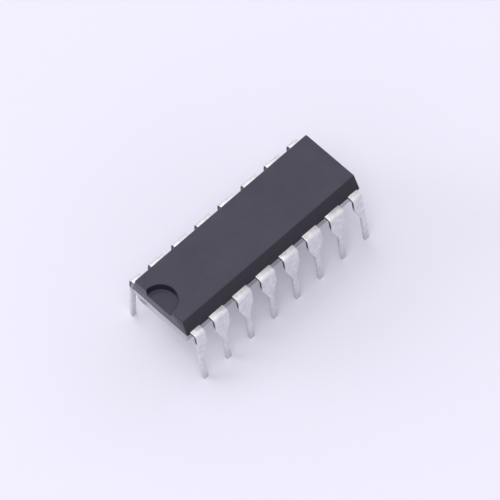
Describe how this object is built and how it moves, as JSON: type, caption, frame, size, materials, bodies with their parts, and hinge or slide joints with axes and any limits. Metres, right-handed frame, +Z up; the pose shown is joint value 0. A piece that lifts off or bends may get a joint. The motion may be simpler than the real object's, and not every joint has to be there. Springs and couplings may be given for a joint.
{
  "type": "dip integrated circuit chip",
  "caption": "Dual in-line integrated circuit chip: a drafted black moulding with a half-round notch at one end and two rows of bent, tinned through-hole leads.",
  "frame": {"origin": "middle of the footprint, on the plane that the lead tips stand on", "axes": "+X along the moulding, away from the pin 1 notch; +Y across it, away from the row of leads 1 to 8; +Z up, out of the top face"},
  "size_m": [0.0188, 0.0086, 0.0074],
  "materials": {
    "moulding": "matt spark-eroded epoxy moulding compound",
    "tinned_lead": "matt tin plate on copper alloy",
    "copper_frame": "bare stamped copper alloy",
    "silver_adhesive": "cured silver-filled epoxy",
    "silicon": "polished silicon",
    "gold_wire": "drawn gold"
  },
  "bodies": {
    "root": {"body": "moulding", "lead_1": "tinned_lead", "lead_2": "tinned_lead", "lead_3": "tinned_lead", "lead_4": "tinned_lead", "lead_5": "tinned_lead", "lead_6": "tinned_lead", "lead_7": "tinned_lead", "lead_8": "tinned_lead", "lead_9": "tinned_lead", "lead_10": "tinned_lead", "lead_11": "tinned_lead", "lead_12": "tinned_lead", "lead_13": "tinned_lead", "lead_14": "tinned_lead", "lead_15": "tinned_lead", "lead_16": "tinned_lead", "die_paddle": "copper_frame", "die_attach": "silver_adhesive", "die": "silicon", "bond_wire_1": "gold_wire", "bond_wire_2": "gold_wire", "bond_wire_3": "gold_wire", "bond_wire_4": "gold_wire", "bond_wire_5": "gold_wire", "bond_wire_6": "gold_wire", "bond_wire_7": "gold_wire", "bond_wire_8": "gold_wire", "bond_wire_9": "gold_wire", "bond_wire_10": "gold_wire", "bond_wire_11": "gold_wire", "bond_wire_12": "gold_wire", "bond_wire_13": "gold_wire", "bond_wire_14": "gold_wire", "bond_wire_15": "gold_wire", "bond_wire_16": "gold_wire"}
  },
  "joints": []
}
